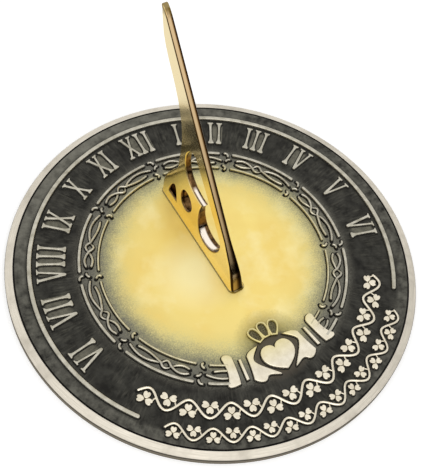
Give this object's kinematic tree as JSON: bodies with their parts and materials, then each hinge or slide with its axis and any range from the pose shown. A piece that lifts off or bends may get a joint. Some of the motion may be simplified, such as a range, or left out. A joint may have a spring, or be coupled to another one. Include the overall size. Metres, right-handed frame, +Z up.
{
  "type": "sundial",
  "caption": "Round cast brass garden sundial: raised hour band, Celtic knot border and claddagh on a dark field, with a separate pierced gnomon screwed on from below.",
  "frame": {"origin": "middle of the dial, on the surface that it stands on", "axes": "+Z up, +Y towards twelve o'clock, where the gnomon's style points to the pole, +X towards the afternoon hours"},
  "size_m": [0.26, 0.26, 0.151],
  "materials": {
    "antique_brass": "cast, dark patina on the field, relief and rim rubbed bright",
    "polished_brass": "cast and polished",
    "steel": "zinc plated"
  },
  "bodies": {
    "root": {"dial_plate": "antique_brass", "gnomon": "polished_brass", "screw_front": "steel", "screw_rear": "steel", "spring_washer_front": "steel", "spring_washer_rear": "steel", "flat_washer_front": "steel", "flat_washer_rear": "steel"}
  },
  "joints": []
}
